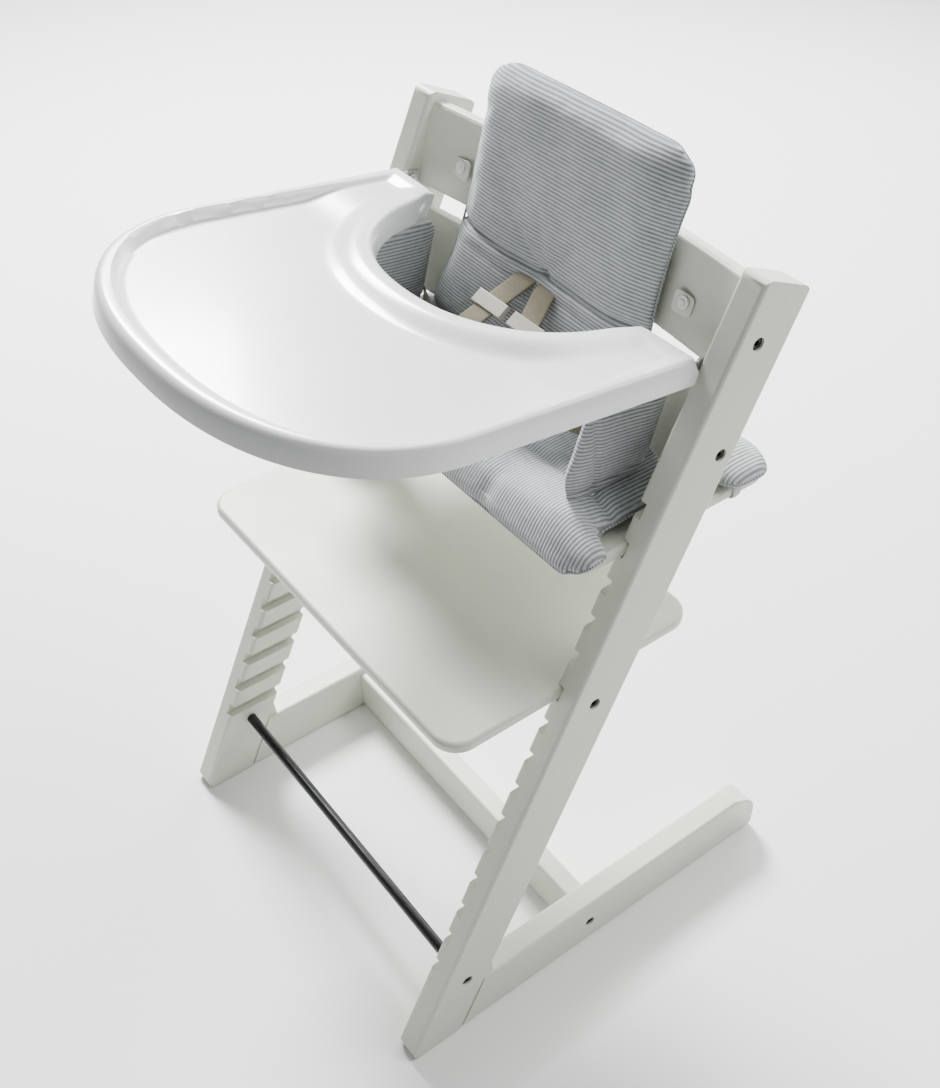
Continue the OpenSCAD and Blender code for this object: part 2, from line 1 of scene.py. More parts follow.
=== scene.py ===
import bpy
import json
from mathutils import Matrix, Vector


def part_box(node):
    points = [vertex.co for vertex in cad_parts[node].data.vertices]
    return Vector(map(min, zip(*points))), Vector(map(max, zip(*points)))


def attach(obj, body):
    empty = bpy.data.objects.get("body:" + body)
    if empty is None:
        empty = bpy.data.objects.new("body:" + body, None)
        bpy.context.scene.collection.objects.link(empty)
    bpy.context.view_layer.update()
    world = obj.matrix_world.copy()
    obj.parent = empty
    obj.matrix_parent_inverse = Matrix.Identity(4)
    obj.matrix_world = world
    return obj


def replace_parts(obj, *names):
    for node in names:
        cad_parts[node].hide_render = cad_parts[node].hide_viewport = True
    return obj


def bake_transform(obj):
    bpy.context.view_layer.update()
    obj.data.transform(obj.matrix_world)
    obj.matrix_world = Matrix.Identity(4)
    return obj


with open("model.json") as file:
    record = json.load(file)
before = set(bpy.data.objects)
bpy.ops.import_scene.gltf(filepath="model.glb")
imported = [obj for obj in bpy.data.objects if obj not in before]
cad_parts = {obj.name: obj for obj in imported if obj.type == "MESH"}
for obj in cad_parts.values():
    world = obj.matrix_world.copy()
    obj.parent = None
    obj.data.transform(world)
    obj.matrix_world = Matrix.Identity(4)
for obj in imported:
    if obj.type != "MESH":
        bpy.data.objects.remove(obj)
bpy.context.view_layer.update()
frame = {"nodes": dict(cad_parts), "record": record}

import json
import logging
import math
from dataclasses import dataclass, field
from enum import Enum
from typing import Callable, Optional, Sequence, Union

import bpy
from mathutils import Matrix, Vector

LOG = logging.getLogger("high_chair")
MM = 0.001
BACK_LEAN = math.radians(15.5)
FOOT_LENGTH = 494.0
WELD_GAP = 2e-5
FLAT_ANGLE = math.radians(1.0)
SHARP_ANGLE = math.radians(38.0)
Point = Sequence[float]
Number = Union[int, float]
Piece = bpy.types.Object


# ---------------------------------------------------------------- modelling helpers

def deselect() -> None:
    """Leaves nothing selected and no object in edit mode."""
    if bpy.context.object and bpy.context.object.mode != "OBJECT":
        bpy.ops.object.mode_set(mode="OBJECT")
    bpy.ops.object.select_all(action="DESELECT")


def activate(piece: Piece) -> Piece:
    """Selects one piece alone and makes it active.

    Args:
        piece: the object to work on.

    Returns:
        The same object.
    """
    deselect()
    piece.select_set(True)
    bpy.context.view_layer.objects.active = piece
    return piece


def named(name: str) -> Piece:
    """Names the object that an operator has just added, and returns it."""
    piece = bpy.context.object
    piece.name = name
    piece.data.name = name
    return piece


def settle(piece: Piece) -> Piece:
    """Moves an object's place, turn and size into its mesh."""
    activate(piece)
    bpy.ops.object.transform_apply(location=True, rotation=True, scale=True)
    return piece


def finish_with(piece: Piece, kind: str, **settings: object) -> Piece:
    """Adds one modifier and applies it.

    Args:
        piece: the object to change.
        kind: the modifier's type.
        **settings: values to set on the modifier.

    Returns:
        The same object.
    """
    activate(piece)
    modifier = piece.modifiers.new(kind.lower(), kind)
    for key, value in settings.items():
        setattr(modifier, key, value)
    bpy.ops.object.modifier_apply(modifier=modifier.name)
    return piece


def smooth(piece: Piece, degrees: float = 180.0) -> Piece:
    """Shades a piece smooth.

    Args:
        piece: the mesh to shade.
        degrees: the angle above which an edge stays hard.

    Returns:
        The same object.
    """
    activate(piece)
    if degrees >= 180.0:
        bpy.ops.object.shade_smooth()
    else:
        bpy.ops.object.shade_smooth_by_angle(angle=math.radians(degrees))
    return piece


def reshape(piece: Piece, rule: Callable[[Vector], Point]) -> Piece:
    """Moves every vertex of a piece.

    Args:
        piece: the mesh to change.
        rule: gives a vertex's new place for its old one.

    Returns:
        The same object.
    """
    for vertex in piece.data.vertices:
        vertex.co = rule(vertex.co.copy())
    piece.data.update()
    return piece


def edited(piece: Piece, *steps: Callable[[], object]) -> Piece:
    """Runs operators on the whole of a mesh in edit mode.

    Args:
        piece: the mesh to change.
        *steps: the operators' calls, in order.

    Returns:
        The same object.
    """
    activate(piece)
    bpy.ops.object.mode_set(mode="EDIT")
    bpy.ops.mesh.select_all(action="SELECT")
    for step in steps:
        step()
    bpy.ops.object.mode_set(mode="OBJECT")
    return piece


def outward(piece: Piece) -> Piece:
    """Turns all faces of a closed piece outwards."""
    return edited(piece, lambda: bpy.ops.mesh.normals_make_consistent(inside=False))


def linked(thing: Piece) -> Piece:
    """Puts a new object into the scene."""
    bpy.context.scene.collection.objects.link(thing)
    return thing


def valley(distance: float, width: float) -> float:
    """Gives a smooth bell: 1 at no distance, and 1/e at the width."""
    return math.exp(-(distance / width) ** 2)


def rounding(radius: float, near: float) -> float:
    """Gives how much a round corner takes off where its arc has run a distance, near."""
    return radius - math.sqrt(max(radius ** 2 - max(near, 0.0) ** 2, 0.0))


def front_shift() -> float:
    """Gives the row frame's y of the feet's front tips, in millimetres."""
    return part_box("foot_right")[1].y / MM - FOOT_LENGTH


def grid(name: str, across: int, along: int,
         rule: Callable[[float, float], Point]) -> Piece:
    """Shapes a flat grid into a surface.

    Args:
        name: the piece's name.
        across: the number of cells in the first direction.
        along: the number of cells in the second direction.
        rule: gives a point for each pair of fractions from 0 to 1.

    Returns:
        The shaped surface, with a UV map of the two fractions.
    """
    deselect()
    bpy.ops.mesh.primitive_grid_add(x_subdivisions=across, y_subdivisions=along, size=1.0,
                                    calc_uvs=True)
    piece = named(name)
    return reshape(piece, lambda co: rule(co.x + 0.5, co.y + 0.5))


def block(name: str, low: Point, high: Point, cuts: int = 0) -> Piece:
    """Adds a box between two corners and cuts its faces into smaller ones.

    Args:
        name: the piece's name.
        low: the lowest corner.
        high: the highest corner.
        cuts: how many cuts each edge gets.

    Returns:
        The box.
    """
    deselect()
    middle = [(a + b) / 2 for a, b in zip(low, high)]
    size = [b - a for a, b in zip(low, high)]
    bpy.ops.mesh.primitive_cube_add(size=1.0, location=middle, scale=size)
    piece = settle(named(name))
    if cuts:
        edited(piece, lambda: bpy.ops.mesh.subdivide(number_cuts=cuts))
    return piece


def unit_cube(name: str, cuts: int) -> Piece:
    """Adds a cube of one metre about the origin, with its faces cut into smaller ones."""
    return block(name, (-0.5, -0.5, -0.5), (0.5, 0.5, 0.5), cuts)


def softened(node: str, width: float, segments: int) -> Piece:
    """Copies a CAD node's mesh, joins its loose triangles and rounds its sharp edges.

    Args:
        node: the CAD node.
        width: the width of the rounding, in metres.
        segments: the number of facets across the rounding.

    Returns:
        The rounded copy, which replaces the node.
    """
    piece = frame["nodes"][node].copy()
    piece.data = piece.data.copy()
    piece.parent = None
    for key in list(piece.keys()):
        del piece[key]
    linked(piece)
    piece.name = f"{node}_finished"
    piece.data.materials.clear()
    edited(piece, lambda: bpy.ops.mesh.remove_doubles(threshold=WELD_GAP),
           lambda: bpy.ops.mesh.dissolve_limited(angle_limit=FLAT_ANGLE))
    finish_with(piece, "BEVEL", width=width, segments=segments, limit_method="ANGLE",
                angle_limit=SHARP_ANGLE, miter_outer="MITER_ARC", harden_normals=False)
    finish_with(piece, "TRIANGULATE")
    smooth(piece, 40.0)
    finish_with(piece, "WEIGHTED_NORMAL", keep_sharp=True, weight=100, mode="FACE_AREA")
    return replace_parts(piece, node)


def curve_through(points: Sequence[Point], count: int) -> list[Vector]:
    """Places evenly counted points on a smooth curve through some given ones.

    Args:
        points: the places the curve passes through.
        count: how many points to give back.

    Returns:
        The points along a Catmull-Rom curve.
    """
    knots = [Vector(p) for p in points]
    ends = [knots[0] * 2 - knots[1]] + knots + [knots[-1] * 2 - knots[-2]]
    result = []
    for i in range(count):
        place = i / (count - 1) * (len(knots) - 1)
        k = min(int(place), len(knots) - 2)
        t = place - k
        a, b, c, d = ends[k:k + 4]
        result.append(0.5 * ((2 * b) + (c - a) * t + (2 * a - 5 * b + 4 * c - d) * t * t
                             + (3 * b - a - 3 * c + d) * t ** 3))
    return result


def tube(name: str, route: Sequence[Point], radius: float, closed: bool = False) -> Piece:
    """Makes a round tube along a route, as a mesh.

    Args:
        name: the piece's name.
        route: the points along the tube's middle.
        radius: the tube's radius.
        closed: whether the tube joins its own start.

    Returns:
        The tube.
    """
    data = bpy.data.curves.new(name, "CURVE")
    data.dimensions = "3D"
    data.bevel_depth = radius
    data.bevel_resolution = 3
    data.use_fill_caps = not closed
    spline = data.splines.new("POLY")
    spline.points.add(len(route) - 1)
    for point, place in zip(spline.points, route):
        point.co = (*place, 1.0)
    spline.use_cyclic_u = closed
    activate(linked(bpy.data.objects.new(name, data)))
    bpy.ops.object.convert(target="MESH")
    return smooth(bpy.context.object)


def joined(name: str, parts: Sequence[Piece]) -> Piece:
    """Joins several meshes into one piece.

    Args:
        name: the piece's name.
        parts: the meshes, of one finish.

    Returns:
        The joined piece.
    """
    deselect()
    for part in parts:
        part.select_set(True)
    bpy.context.view_layer.objects.active = parts[0]
    if len(parts) > 1:
        bpy.ops.object.join()
    return named(name)


def ribbon(name: str, route: Sequence[Point], sides: Sequence[Point], width: float,
           thickness: float, cells: int = 90) -> Piece:
    """Makes flat webbing along a smooth route.

    Args:
        name: the piece's name.
        route: the places the middle of the webbing passes through.
        sides: the direction across the webbing at each of those places.
        width: the width of the webbing.
        thickness: its thickness.
        cells: the number of cells along it.

    Returns:
        The webbing, whose UV map runs across and along it.
    """
    middle = curve_through(route, cells + 1)
    across = [side.normalized() for side in curve_through(sides, cells + 1)]

    def place(u: float, v: float) -> Point:
        """Gives the place for two fractions, across and along."""
        k = min(round(v * cells), cells)
        cup = 0.6 * MM * (1 - (2 * u - 1) ** 2)
        run = middle[min(k + 1, cells)] - middle[max(k - 1, 0)]
        rise = run.cross(across[k]).normalized() * cup
        return middle[k] + across[k] * (u - 0.5) * width + rise

    piece = grid(name, 8, cells, place)
    finish_with(piece, "SOLIDIFY", thickness=thickness, offset=0.0, use_even_offset=True)
    finish_with(piece, "BEVEL", width=thickness * 0.3, segments=2, limit_method="ANGLE",
                angle_limit=math.radians(60))
    return smooth(piece, 60.0)


def hugging(pad: Piece, route: Sequence[Vector], rise: float) -> list[Vector]:
    """Lays a route on a pad's surface.

    Args:
        pad: the finished pad.
        route: the rough route round it.
        rise: how far the route stands off the surface, in metres.

    Returns:
        The places on the surface, evened out a little.
    """
    laid = []
    for place in route:
        _, on, normal, _ = pad.closest_point_on_mesh(place)
        laid.append(on + normal * rise)
    count = len(laid)
    return [(laid[i - 1] + laid[i] * 2 + laid[(i + 1) % count]) / 4 for i in range(count)]


@dataclass(frozen=True)
class Swell:
    """How a padded piece is blown up by cloth simulation."""

    voxel: float = 5.5 * MM
    pressure: float = 4.0
    cap: float = 9 * MM
    last_frame: int = 20
    stiffness: float = 12.0
    bending: float = 0.4
    mass: float = 0.15

    @staticmethod
    def regain_outline(piece: Piece, start: list[Vector]) -> None:
        """Stretches a filled piece back to the width and length it had before.

        Args:
            piece: the filled piece, whose edges have drawn in.
            start: its vertices' places before it was filled.
        """
        spans = [max(co[i] for co in start) - min(co[i] for co in start) for i in range(3)]
        thin = spans.index(min(spans))
        for axis in (i for i in range(3) if i != thin):
            old = [co[axis] for co in start]
            new = [vertex.co[axis] for vertex in piece.data.vertices]
            scale = (max(old) - min(old)) / (max(new) - min(new))
            for vertex in piece.data.vertices:
                vertex.co[axis] = min(old) + (vertex.co[axis] - min(new)) * scale

    def run(self, piece: Piece) -> Piece:
        """Remeshes a piece and lets cloth pressure fill it.

        Args:
            piece: the closed mesh to fill.

        Returns:
            The same object, filled and with no simulation left on it.
        """
        finish_with(piece, "REMESH", mode="VOXEL", voxel_size=self.voxel, use_smooth_shade=True)
        start = [vertex.co.copy() for vertex in piece.data.vertices]
        activate(piece)
        cloth = piece.modifiers.new("cloth", "CLOTH")
        settings = {"quality": 4, "mass": self.mass, "tension_stiffness": self.stiffness,
                    "compression_stiffness": self.stiffness,
                    "shear_stiffness": self.stiffness / 2,
                    "bending_stiffness": self.bending, "use_pressure": True,
                    "uniform_pressure_force": self.pressure}
        for key, value in settings.items():
            setattr(cloth.settings, key, value)
        cloth.settings.effector_weights.gravity = 0.0
        cloth.collision_settings.use_collision = False
        scene = bpy.context.scene
        for number in range(1, self.last_frame + 1):
            scene.frame_set(number)
        swollen = piece.evaluated_get(bpy.context.evaluated_depsgraph_get())
        moved = [vertex.co.copy() for vertex in swollen.data.vertices]
        piece.modifiers.remove(cloth)
        scene.frame_set(1)
        for vertex, old, new in zip(piece.data.vertices, start, moved):
            step = new - old
            if step.length > self.cap:
                step *= self.cap / step.length
            vertex.co = old + step
        self.regain_outline(piece, start)
        finish_with(piece, "CORRECTIVE_SMOOTH", iterations=2, use_only_smooth=True)
        finish_with(piece, "SUBSURF", levels=1, render_levels=1)
        return smooth(piece)


# ---------------------------------------------------------------- shader helpers

class Value:
    """A number socket that can be used in Python arithmetic."""

    def __init__(self, graph: "Graph", socket: bpy.types.NodeSocket) -> None:
        """Wraps one output socket of a graph."""
        self.graph = graph
        self.socket = socket

    def _math(self, operation: str, *inputs: "Value | Number") -> "Value":
        """Adds a Math node."""
        node = self.graph.node("ShaderNodeMath", {"operation": operation},
                               {i: value for i, value in enumerate(inputs)})
        return Value(self.graph, node.outputs[0])

    def __add__(self, other: "Value | Number") -> "Value":
        """Adds."""
        return self._math("ADD", self, other)

    def __sub__(self, other: "Value | Number") -> "Value":
        """Subtracts."""
        return self._math("SUBTRACT", self, other)

    def __mul__(self, other: "Value | Number") -> "Value":
        """Multiplies."""
        return self._math("MULTIPLY", self, other)

    __radd__ = __add__

    def power(self, exponent: Number) -> "Value":
        """Raises to a power."""
        return self._math("POWER", self, exponent)

    def sine(self) -> "Value":
        """Gives the sine of an angle in radians."""
        return self._math("SINE", self)

    def absolute(self) -> "Value":
        """Gives the size without its sign."""
        return self._math("ABSOLUTE", self)

    def clamped(self) -> "Value":
        """Limits to the range from 0 to 1."""
        node = self.graph.node("ShaderNodeClamp", {}, {"Value": self})
        return Value(self.graph, node.outputs[0])


class Graph:
    """A material's node tree, with one method that adds any node."""

    def __init__(self, name: str) -> None:
        """Starts a material with a plain shader and its output."""
        self.material = bpy.data.materials.new(name)
        self.material.use_nodes = True
        self.tree = self.material.node_tree
        self.shader = self.tree.nodes["Principled BSDF"]

    def node(self, kind: str, settings: dict[str, object],
             inputs: dict[object, object]) -> bpy.types.Node:
        """Adds one node.

        Args:
            kind: the node's type.
            settings: what to set on the node itself.
            inputs: values or links for its sockets, by name or number.

        Returns:
            The node.
        """
        node = self.tree.nodes.new(kind)
        for key, value in settings.items():
            setattr(node, key, value)
        for key, value in inputs.items():
            self.feed(node.inputs[key], value)
        return node

    def feed(self, target: bpy.types.NodeSocket, value: object) -> None:
        """Feeds a socket.

        Args:
            target: the input socket.
            value: a Value or an output socket to link, or a plain value to set.
        """
        source = value.socket if isinstance(value, Value) else value
        if isinstance(source, bpy.types.NodeSocket):
            self.tree.links.new(source, target)
        else:
            target.default_value = source

    def place(self) -> bpy.types.NodeSocket:
        """Gives the object coordinates."""
        return self.node("ShaderNodeTexCoord", {}, {}).outputs["Object"]

    def split(self, vector: bpy.types.NodeSocket) -> list["Value"]:
        """Splits a vector into three numbers."""
        node = self.node("ShaderNodeSeparateXYZ", {}, {0: vector})
        return [Value(self, output) for output in node.outputs]

    def noise(self, scale: float, detail: float, stretch: Point = (1, 1, 1)) -> "Value":
        """Gives noise from 0 to 1.

        Args:
            scale: how fine it is.
            detail: how many octaves it has.
            stretch: a factor for each axis; a small one draws the noise out.

        Returns:
            The noise.
        """
        turned = self.node("ShaderNodeMapping", {}, {0: self.place(), 3: stretch}).outputs[0]
        node = self.node("ShaderNodeTexNoise", {},
                         {"Vector": turned, "Scale": scale, "Detail": detail})
        return Value(self, node.outputs[0])

    def mix(self, factor: "Value", first: Point, second: object) -> bpy.types.NodeSocket:
        """Mixes two colours by a factor."""
        node = self.node("ShaderNodeMix", {"data_type": "RGBA"},
                         {0: factor, 6: self.colour(first), 7: self.colour(second)})
        return node.outputs[2]

    @staticmethod
    def colour(value: object) -> object:
        """Gives a colour four numbers, and leaves a socket as it is."""
        return (*value, 1.0) if isinstance(value, tuple) else value

    def bump(self, height: "Value", distance: float, strength: float = 1.0) -> None:
        """Raises the surface by a height from 0 to 1 times a distance in metres."""
        node = self.node("ShaderNodeBump", {},
                         {"Height": height, "Distance": distance, "Strength": strength})
        self.tree.links.new(node.outputs[0], self.shader.inputs["Normal"])

    def surface(self, **sockets: object) -> bpy.types.Material:
        """Sets the shader's sockets, and gives the material back.

        Args:
            **sockets: values or links by socket name, with _ for a space.

        Returns:
            The material.
        """
        for key, value in sockets.items():
            self.feed(self.shader.inputs[key.replace("_", " ")], self.colour(value))
        return self.material


# ---------------------------------------------------------------- finishes

class Grain(Enum):
    """The axis that wood grain runs along."""

    X = (0.06, 1.0, 1.0)
    Y = (1.0, 0.06, 1.0)
    Z = (1.0, 1.0, 0.06)


@dataclass(frozen=True)
class PaintedWood:
    """Satin off-white paint that lets a little grain through."""

    grain: Grain
    light: tuple = (0.64, 0.655, 0.57)
    shade: tuple = (0.575, 0.59, 0.505)
    roughness: float = 0.36

    def build(self) -> bpy.types.Material:
        """Makes the material."""
        graph = Graph(f"painted_wood_{self.grain.name.lower()}")
        grain = graph.noise(170, 5, self.grain.value)
        cloudy = graph.noise(7, 3)
        peel = graph.noise(900, 2)
        tone = (grain * 0.45 + cloudy * 0.75 - 0.1).clamped()
        graph.bump(grain * 0.7 + peel * 0.3, 0.00012, 0.8)
        return graph.surface(Base_Color=graph.mix(tone, self.light, self.shade),
                             Roughness=self.roughness + cloudy * 0.14, Specular_IOR_Level=0.45)


@dataclass(frozen=True)
class BareWood:
    """Plain beech with short dark flecks."""

    light: tuple = (0.66, 0.47, 0.29)
    dark: tuple = (0.42, 0.27, 0.15)

    def build(self) -> bpy.types.Material:
        """Makes the material."""
        graph = Graph("bare_beech")
        grain = graph.noise(260, 6, (1.0, 0.08, 1.0))
        graph.bump(grain, 0.0002)
        return graph.surface(Base_Color=graph.mix(grain, self.light, self.dark), Roughness=0.6)


@dataclass(frozen=True)
class Moulding:
    """Moulded plastic with a faint skin texture."""

    name: str
    light: tuple
    dark: tuple
    roughness: float = 0.3
    coat: float = 0.0
    skin: float = 0.00004
    scale: float = 1400.0

    def build(self) -> bpy.types.Material:
        """Makes the material."""
        graph = Graph(self.name)
        cloudy = graph.noise(11, 4)
        skin = graph.noise(self.scale, 2)
        graph.bump(skin, self.skin, 0.7)
        return graph.surface(Base_Color=graph.mix(cloudy, self.light, self.dark),
                             Roughness=self.roughness + cloudy * 0.12 - 0.06,
                             Coat_Weight=self.coat, Coat_Roughness=0.12)


@dataclass(frozen=True)
class Metal:
    """Metal with fine brush marks or a dark finish."""

    name: str
    light: tuple
    dark: tuple
    roughness: float = 0.35
    metallic: float = 1.0
    stretch: tuple = (0.04, 1.0, 1.0)

    def build(self) -> bpy.types.Material:
        """Makes the material."""
        graph = Graph(self.name)
        marks = graph.noise(1500, 4, self.stretch)
        cloudy = graph.noise(40, 3)
        graph.bump(marks, 0.00002)
        return graph.surface(Base_Color=graph.mix(cloudy, self.light, self.dark),
                             Metallic=self.metallic, Roughness=self.roughness + marks * 0.15)


@dataclass(frozen=True)
class RibbedCotton:
    """Woven cotton with fine grey and white ribs."""

    name: str
    rib_axis: tuple
    period: float = 3.3 * MM
    pale: tuple = (0.53, 0.55, 0.57)
    grey: tuple = (0.185, 0.20, 0.21)

    def build(self) -> bpy.types.Material:
        """Makes the material; ribs change along rib_axis."""
        graph = Graph(self.name)
        x, y, z = graph.split(graph.place())
        along = x * self.rib_axis[0] + y * self.rib_axis[1] + z * self.rib_axis[2]
        warp = (graph.noise(55, 2) - 0.5) * (0.5 * MM)
        turn = 2 * math.pi / self.period
        wave = ((along + warp) * turn).sine() * 0.5 + 0.5
        threads = graph.noise(2600, 3)
        weave = graph.noise(900, 2)
        slub = graph.noise(240, 3, (0.3, 1.0, 1.0))
        rib = ((wave - 0.5) * 2.0 + 0.56 + (threads - 0.5) * 0.9).clamped()
        tone = (rib * 0.82 + (slub - 0.5) * 0.5 + 0.08).clamped()
        graph.bump(wave * 0.65 + threads * 0.25 + weave * 0.1, 0.0006, 0.75)
        return graph.surface(Base_Color=graph.mix(tone, self.grey, self.pale), Roughness=0.93,
                             Sheen_Weight=0.25, Sheen_Roughness=0.6, Specular_IOR_Level=0.2)


@dataclass(frozen=True)
class Webbing:
    """Woven belt with cross ribs and bound edges, on a piece's own UV map."""

    name: str
    length: float
    width: float
    light: tuple = (0.275, 0.25, 0.18)
    dark: tuple = (0.13, 0.112, 0.07)

    def build(self) -> bpy.types.Material:
        """Makes the material."""
        graph = Graph(self.name)
        u, v, _ = graph.split(graph.node("ShaderNodeUVMap", {}, {}).outputs[0])
        rows = (v * (2 * math.pi * self.length / (1.5 * MM))).sine() * 0.5 + 0.5
        warps = (u * (2 * math.pi * self.width / (1.25 * MM))).sine() * 0.5 + 0.5
        edge = ((u - 0.5).absolute() * 2).power(14)
        weave = rows * 0.6 + warps * 0.4
        cloudy = graph.noise(120, 3)
        tone = (weave * 0.55 + cloudy * 0.45 - edge * 0.25).clamped()
        graph.bump((weave - edge * 0.4).clamped(), 0.0005, 0.8)
        return graph.surface(Base_Color=graph.mix(tone, self.dark, self.light), Roughness=0.85,
                             Sheen_Weight=0.15, Specular_IOR_Level=0.25)


@dataclass
class Finishes:
    """All the finishes, each made once."""

    made: dict[str, bpy.types.Material] = field(default_factory=dict)

    RECIPES = {
        "wood_x": PaintedWood(Grain.X),
        "wood_y": PaintedWood(Grain.Y),
        "wood_z": PaintedWood(Grain.Z),
        "beech": BareWood(),
        "tray": Moulding("tray_plastic", (0.79, 0.82, 0.80), (0.76, 0.79, 0.77), 0.27, 0.35),
        "runner": Moulding("runner_plastic", (0.70, 0.71, 0.70), (0.62, 0.63, 0.62), 0.45),
        "catch": Moulding("catch_plastic", (0.40, 0.41, 0.41), (0.34, 0.35, 0.35), 0.5),
        "glide": Moulding("glide_plastic", (0.55, 0.55, 0.53), (0.45, 0.45, 0.43), 0.6),
        "tab": Moulding("milky_tab", (0.68, 0.69, 0.62), (0.60, 0.61, 0.54), 0.25, 0.3),
        "stud": Moulding("stud_plastic", (0.86, 0.86, 0.82), (0.78, 0.78, 0.74), 0.2, 0.4),
        "slider": Moulding("slider_plastic", (0.42, 0.40, 0.34), (0.36, 0.34, 0.29), 0.42),
        "buckle": Moulding("buckle_plastic", (0.78, 0.78, 0.74), (0.70, 0.70, 0.66), 0.38),
        "button": Moulding("button_plastic", (0.26, 0.27, 0.28), (0.20, 0.21, 0.22), 0.45),
        "steel": Metal("zinc_steel", (0.62, 0.63, 0.64), (0.45, 0.46, 0.47)),
        "black_rod": Metal("black_rod", (0.018, 0.018, 0.02), (0.032, 0.032, 0.034), 0.28, 0.6),
        "black_screw": Metal("black_screw", (0.015, 0.015, 0.016), (0.03, 0.03, 0.03), 0.4, 0.7,
                             (1, 1, 1)),
        "anchor": Moulding("anchor_coat", (0.30, 0.31, 0.32), (0.24, 0.25, 0.26), 0.5),
        "back_cotton": RibbedCotton("back_cotton",
                                    (0.0, math.sin(BACK_LEAN), math.cos(BACK_LEAN))),
        "wing_cotton": RibbedCotton("wing_cotton", (0.0, 0.12, 1.0)),
        "seat_cotton": RibbedCotton("seat_cotton", (1.0, 0.0, 0.0)),
        "cord_cotton": RibbedCotton("cord_cotton", (0.6, 0.6, 0.5), 2.2 * MM,
                                    (0.42, 0.44, 0.45), (0.16, 0.17, 0.18)),
        "elastic": Webbing("elastic_loop", 0.04, 0.010, (0.80, 0.80, 0.78), (0.60, 0.60, 0.58)),
    }

    def get(self, name: str) -> bpy.types.Material:
        """Gives a finish by name, and makes it the first time."""
        if name not in self.made:
            self.made[name] = self.RECIPES[name].build()
        return self.made[name]

    def dress(self, piece: Piece, name: str) -> Piece:
        """Puts one finish all over a piece."""
        piece.data.materials.clear()
        piece.data.materials.append(self.get(name))
        return piece


FINISH = Finishes()


def mount(piece: Piece, body: Optional[str],
          finish: Optional[str] = None) -> Piece:
    """Dresses a piece, makes it ride on a body and logs it.

    Args:
        piece: the finished mesh.
        body: the CAD body that carries it, or None to leave the piece on no body.
        finish: the finish's name, or None where the piece is dressed already.

    Returns:
        The same object.
    """
    if finish:
        FINISH.dress(piece, finish)
    if body:
        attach(piece, body)
    LOG.info("%s rides on %s, %d faces", piece.name, body, len(piece.data.polygons))
    return piece


# ---------------------------------------------------------------- rigid pieces from the CAD

@dataclass
class RigidParts:
    """Wood, rods, screws and small hardware whose CAD shape is right and only needs rounding."""

    rows: tuple = (
        ("upright_*", 0.9, "wood_z"), ("foot_*", 1.2, "wood_y"), ("cross_brace", 0.8, "wood_x"),
        ("upper_backrest", 1.0, "wood_x"), ("lower_backrest", 1.0, "wood_x"),
        ("footplate", 4.5, "wood_x"), ("seat_plate", 4.0, "wood_x"),
        ("foot_dowels", 0.6, "beech"), ("foot_glides", 0.6, "glide"),
        ("lower_rod", 0.5, "black_rod"), ("upper_rod", 0.5, "black_rod"),
        ("frame_screws", 0.35, "black_screw"), ("threaded_inserts", 0.2, "steel"),
        ("tray_bar_*", 0.5, "steel"), ("tray_bar_screws", 0.3, "steel"),
        ("tray_runner_*", 0.5, "runner"), ("tray_runner_screws", 0.25, "steel"),
        ("tray_catch_*", 0.8, "catch"), ("cushion_tab_*", 0.5, "tab"),
        ("press_studs", 0.5, "stud"), ("harness_anchor", 0.8, "anchor"),
        ("strap_slider_*", 0.9, "slider"), ("crotch_strap_stop", 0.8, "slider"),
        ("buckle_body", 2.2, "buckle"), ("buckle_button", 1.2, "button"),
        ("buckle_tongue_*", 0.5, "steel"),
    )

    def build(self) -> None:
        """Makes and mounts every rigid piece; a star stands for left and right."""
        bodies = {node: body for body, nodes in frame["record"]["behaviour"]["bodies"].items()
                  for node in nodes}
        for pattern, width, finish in self.rows:
            words = ("left", "right") if "*" in pattern else ("",)
            for node in (pattern.replace("*", word) for word in words):
                piece = softened(node, width * MM, segments=4 if width > 2 else 2)
                if pattern == "cushion_tab_*":
                    self.narrowed(piece)
                mount(piece, bodies[node], finish)

    @staticmethod
    def narrowed(tab: Piece) -> None:
        """Draws the free end of a soft tab in towards its stud.

        Args:
            tab: the softened tab, which is changed.
        """
        low = min(vertex.co.z for vertex in tab.data.vertices)
        high = max(vertex.co.z for vertex in tab.data.vertices)
        side = 1 if tab.data.vertices[0].co.x > 0 else -1
        near = min(abs(vertex.co.x) for vertex in tab.data.vertices)
        middle = (low + high) / 2

        def rule(co: Vector) -> Point:
            """Narrows the tab more the further it is from the cushion."""
            share = 0.72 - 0.10 * (side * co.x - near) / 0.022
            lift = co.z - middle
            rise = lift * (1 - share)
            return (co.x, co.y - rise * math.tan(BACK_LEAN), co.z - rise)

        reshape(tab, rule)


# ---------------------------------------------------------------- tray

